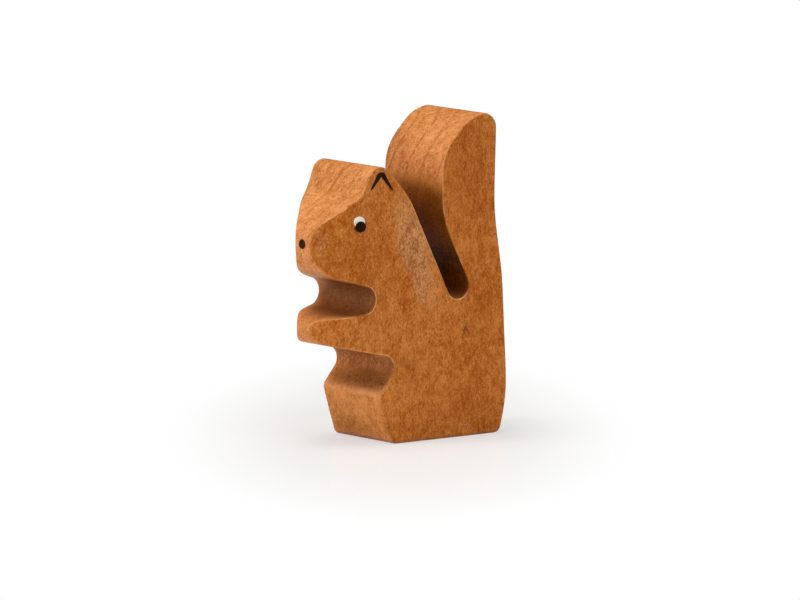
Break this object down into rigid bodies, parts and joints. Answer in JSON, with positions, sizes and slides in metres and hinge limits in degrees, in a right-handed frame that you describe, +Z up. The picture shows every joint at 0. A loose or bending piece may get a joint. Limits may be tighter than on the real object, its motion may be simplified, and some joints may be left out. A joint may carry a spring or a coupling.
{
  "type": "squirrel figurine",
  "caption": "Upright squirrel figurine sawn from one wooden board, with a slot behind the neck, notches under chin and arm, and painted eyes, ear marks and nose.",
  "frame": {"origin": "middle of the flat face that the figure stands on", "axes": "+Z up, the nose points along -X, the animal's left side faces -Y and its right side +Y"},
  "size_m": [0.0466, 0.0204, 0.068],
  "materials": {
    "wood": "warm brown stain on fine-grained hardwood, sanded, satin",
    "white_paint": "white hand-dabbed paint, satin",
    "black_paint": "black hand-dabbed paint, satin"
  },
  "bodies": {
    "root": {"wooden_body": "wood", "left_eye_white": "white_paint", "left_pupil": "black_paint", "left_ear_mark": "black_paint", "right_eye_white": "white_paint", "right_pupil": "black_paint", "right_ear_mark": "black_paint", "nose_dot": "black_paint"}
  },
  "joints": []
}
